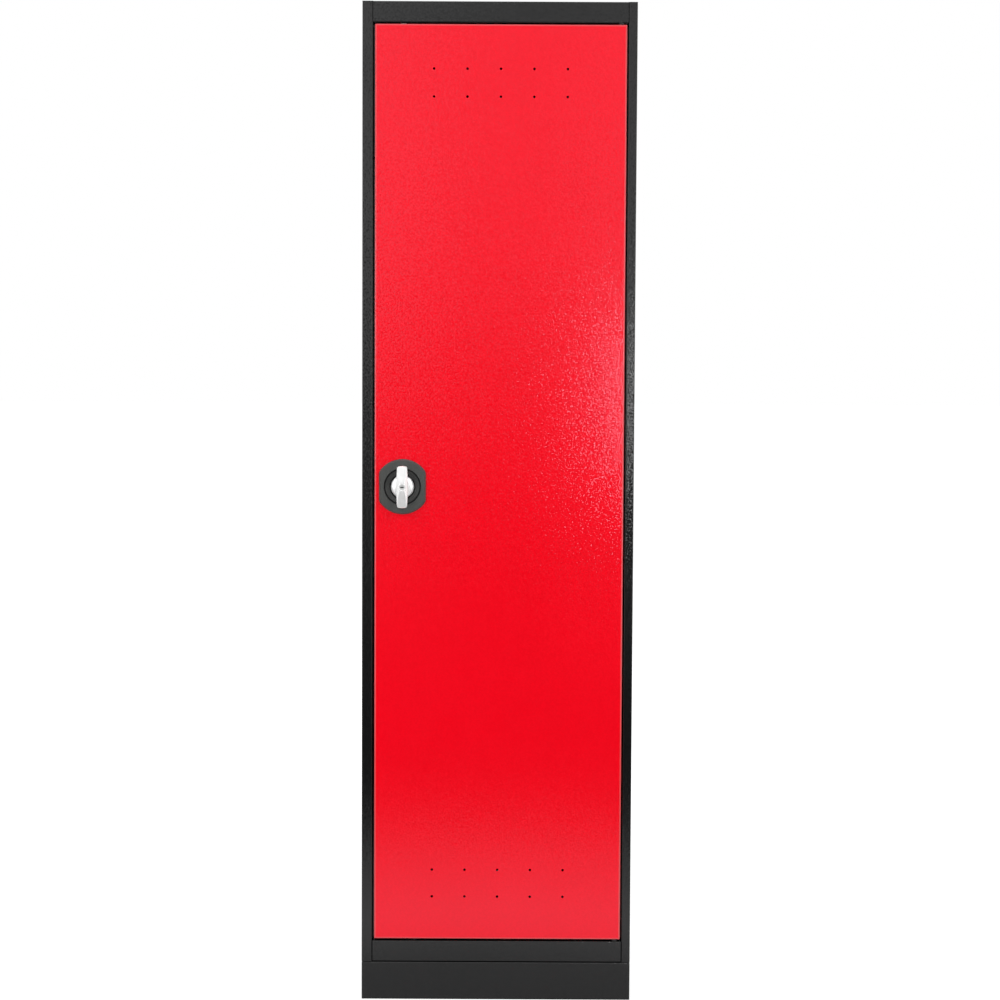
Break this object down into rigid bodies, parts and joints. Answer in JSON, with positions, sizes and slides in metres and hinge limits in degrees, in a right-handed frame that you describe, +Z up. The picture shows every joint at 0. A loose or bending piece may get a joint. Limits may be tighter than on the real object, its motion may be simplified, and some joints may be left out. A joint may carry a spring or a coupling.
{
  "type": "storage cabinet",
  "caption": "Tall steel storage cabinet with a flush hinged door, turn-handle rod lock, vent holes, plinth and lift-off shelves in a folded-sheet carcass.",
  "frame": {"origin": "on the floor, in the middle of the carcass's footprint, in the plane of the plinth's underside", "axes": "+Z up; +Y to the back, so the door faces -Y; +X to the right as seen from the front"},
  "size_m": [0.5018, 0.476, 1.84],
  "materials": {
    "charcoal_powder_coat": "fine-textured matte powder coat",
    "red_powder_coat": "fine-textured satin powder coat",
    "black_plastic": "matte moulded plastic",
    "satin_chrome": "satin chrome",
    "zinc_steel": "bright zinc plate",
    "white_nylon": "natural nylon",
    "rubber": "matte rubber"
  },
  "bodies": {
    "carcass": {"side_panel_left": "charcoal_powder_coat", "side_panel_right": "charcoal_powder_coat", "top_panel": "charcoal_powder_coat", "bottom_panel": "charcoal_powder_coat", "back_panel": "charcoal_powder_coat", "plinth": "charcoal_powder_coat", "top_panel_rivets": "charcoal_powder_coat", "bottom_panel_rivets": "charcoal_powder_coat", "back_panel_rivets": "charcoal_powder_coat", "plinth_bolts": "zinc_steel", "plinth_nuts": "zinc_steel", "upright_front_left": "charcoal_powder_coat", "upright_front_right": "charcoal_powder_coat", "upright_rear_left": "charcoal_powder_coat", "upright_rear_right": "charcoal_powder_coat", "shelf_clips": "zinc_steel", "door_buffers": "rubber", "hinge_bush_top": "black_plastic", "hinge_bush_bottom": "black_plastic"},
    "door": {"door_panel": "red_powder_coat", "door_stiffener": "red_powder_coat", "hinge_bracket_top": "zinc_steel", "hinge_bracket_bottom": "zinc_steel", "hinge_pin_top": "zinc_steel", "hinge_pin_bottom": "zinc_steel", "lock_escutcheon": "black_plastic", "lock_case": "zinc_steel", "lock_screws": "zinc_steel", "rod_guides": "white_nylon", "rod_bush_top": "white_nylon", "rod_bush_bottom": "black_plastic"},
    "handle": {"turn_handle": "satin_chrome", "key_barrel": "satin_chrome", "lock_spindle": "zinc_steel", "cam_plate": "zinc_steel", "cam_studs": "zinc_steel", "spacer_sleeve": "zinc_steel", "lock_tongue": "zinc_steel", "spindle_washer": "zinc_steel", "spindle_nut": "zinc_steel"},
    "key_plug": {"key_plug": "zinc_steel"},
    "upper_rod": {"upper_rod": "zinc_steel"},
    "lower_rod": {"lower_rod": "zinc_steel"},
    "shelf_1": {"shelf_1": "charcoal_powder_coat"},
    "shelf_2": {"shelf_2": "charcoal_powder_coat"},
    "shelf_3": {"shelf_3": "charcoal_powder_coat"},
    "shelf_4": {"shelf_4": "charcoal_powder_coat"}
  },
  "joints": [
    {"name": "door_hinge", "type": "hinge", "parent": "carcass", "child": "door", "pos_m": [0.2212, -0.218, 0.95745], "axis": [0, 0, 1], "range_deg": [0, 110]},
    {"name": "handle_turn", "type": "hinge", "parent": "door", "child": "handle", "pos_m": [-0.1755, -0.2173, 0.95745], "axis": [0, 1, 0], "range_deg": [0, 90]},
    {"name": "key_turn", "type": "hinge", "parent": "handle", "child": "key_plug", "pos_m": [-0.1755, -0.24, 0.95745], "axis": [0, 1, 0], "range_deg": [0, 90]},
    {"name": "upper_rod_slide", "type": "slide", "parent": "door", "child": "upper_rod", "axis": [0, 0, 1], "range_m": [0, 0.0256]},
    {"name": "lower_rod_slide", "type": "slide", "parent": "door", "child": "lower_rod", "axis": [0, 0, -1], "range_m": [0, 0.0256]},
    {"name": "shelf_1_lift", "type": "slide", "parent": "carcass", "child": "shelf_1", "axis": [0, 0, 1], "range_m": [0, 0.025]},
    {"name": "shelf_2_lift", "type": "slide", "parent": "carcass", "child": "shelf_2", "axis": [0, 0, 1], "range_m": [0, 0.025]},
    {"name": "shelf_3_lift", "type": "slide", "parent": "carcass", "child": "shelf_3", "axis": [0, 0, 1], "range_m": [0, 0.025]},
    {"name": "shelf_4_lift", "type": "slide", "parent": "carcass", "child": "shelf_4", "axis": [0, 0, 1], "range_m": [0, 0.025]}
  ],
  "couplings": [
    {"joint": "upper_rod_slide", "follows": "handle_turn", "m_per_rad": 0.016206},
    {"joint": "lower_rod_slide", "follows": "handle_turn", "m_per_rad": 0.016206}
  ]
}
